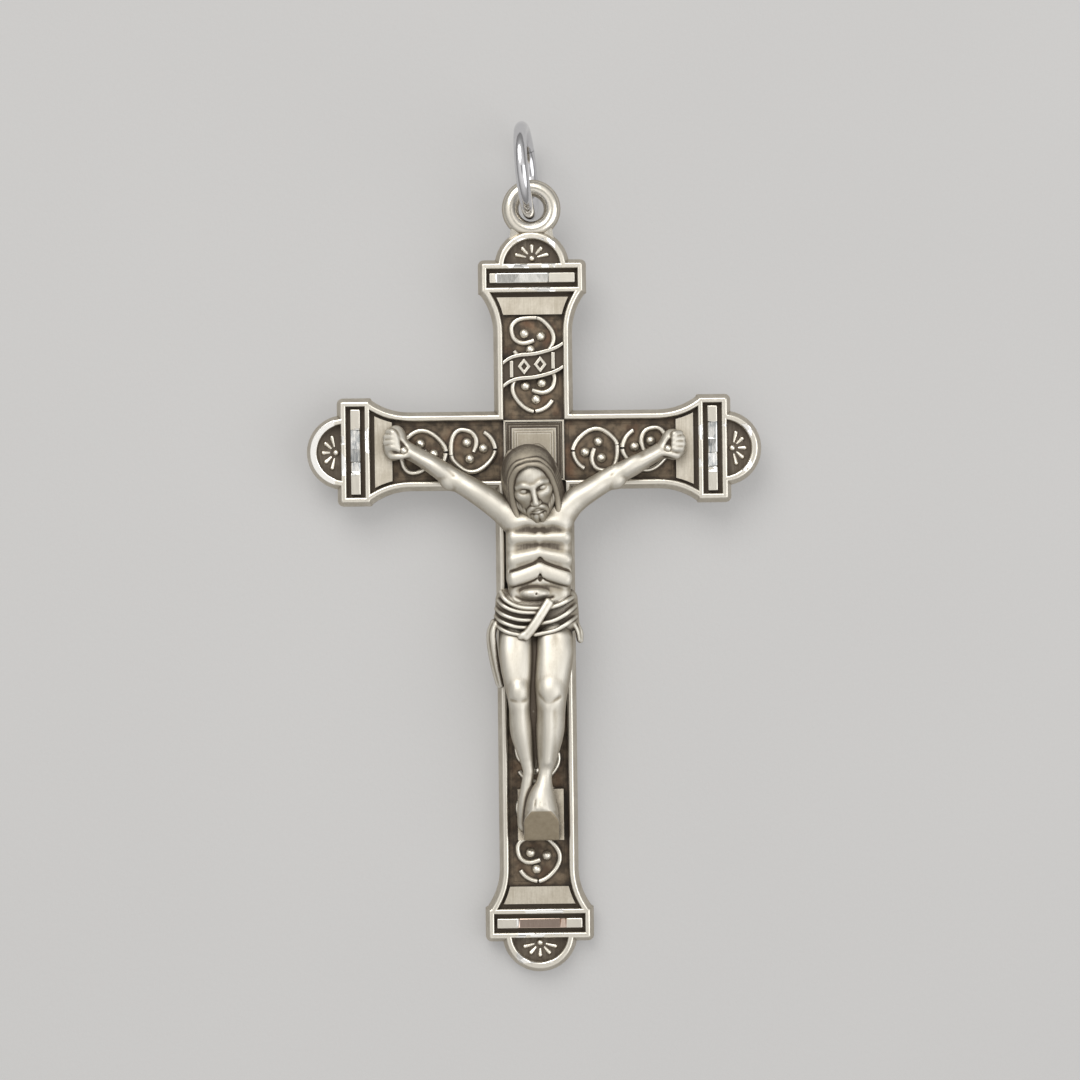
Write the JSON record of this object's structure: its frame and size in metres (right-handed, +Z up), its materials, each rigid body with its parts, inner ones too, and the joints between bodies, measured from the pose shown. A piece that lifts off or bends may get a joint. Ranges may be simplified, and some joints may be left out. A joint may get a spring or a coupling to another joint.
{
  "type": "crucifix pendant",
  "caption": "Flat cast crucifix with sunk scrollwork panels, flared end caps, an applied corpus, a round bail eye and a swinging jump ring.",
  "frame": {"origin": "centre of the bail eye, in the mid-plane of the cross's thickness; the ring swings about it", "axes": "+Z up along the long arm, +X to the viewer's right, front and corpus face -Y, flat back faces +Y"},
  "size_m": [0.0432, 0.0107, 0.081],
  "materials": {
    "satin_silver": "warm silver, satin brushed along the cross",
    "bright_rim_silver": "warm silver, worn bright on its crests",
    "bright_cut_silver": "bright-cut mirror facets",
    "oxidised_ground": "brown-black oxidised, matt",
    "oxidised_relief": "oxidised in the hollows, rubbed bright on top",
    "worn_relief": "rubbed bright relief",
    "corpus_silver": "soft antiqued silver, dark in the creases",
    "chrome_wire": "neutral polished plating"
  },
  "bodies": {
    "cross": {"back_plate": "satin_silver", "bail_eye": "bright_rim_silver", "border_frame": "bright_rim_silver", "cap_bar_left": "bright_cut_silver", "cap_bar_lower": "bright_cut_silver", "cap_bar_right": "bright_cut_silver", "cap_bar_upper": "bright_cut_silver", "centre_boss": "oxidised_relief", "corpus": "corpus_silver", "corpus_pegs": "satin_silver", "cove_left": "satin_silver", "cove_lower": "satin_silver", "cove_right": "satin_silver", "cove_upper": "satin_silver", "fan_left": "oxidised_relief", "fan_lower": "oxidised_relief", "fan_right": "oxidised_relief", "fan_upper": "oxidised_relief", "foot_rest": "satin_silver", "palm_nails": "corpus_silver", "panel_left": "oxidised_ground", "panel_lower": "oxidised_ground", "panel_right": "oxidised_ground", "panel_upper": "oxidised_ground", "scrollwork_left": "worn_relief", "scrollwork_lower": "worn_relief", "scrollwork_right": "worn_relief", "scrollwork_upper": "worn_relief", "title_marks": "worn_relief", "title_scroll": "oxidised_relief"},
    "ring": {"jump_ring": "chrome_wire"}
  },
  "joints": [
    {"name": "ring_swing", "type": "hinge", "parent": "cross", "child": "ring", "pos_m": [0, 0, 0], "axis": [0, 1, 0], "range_deg": [-110, 119]}
  ]
}
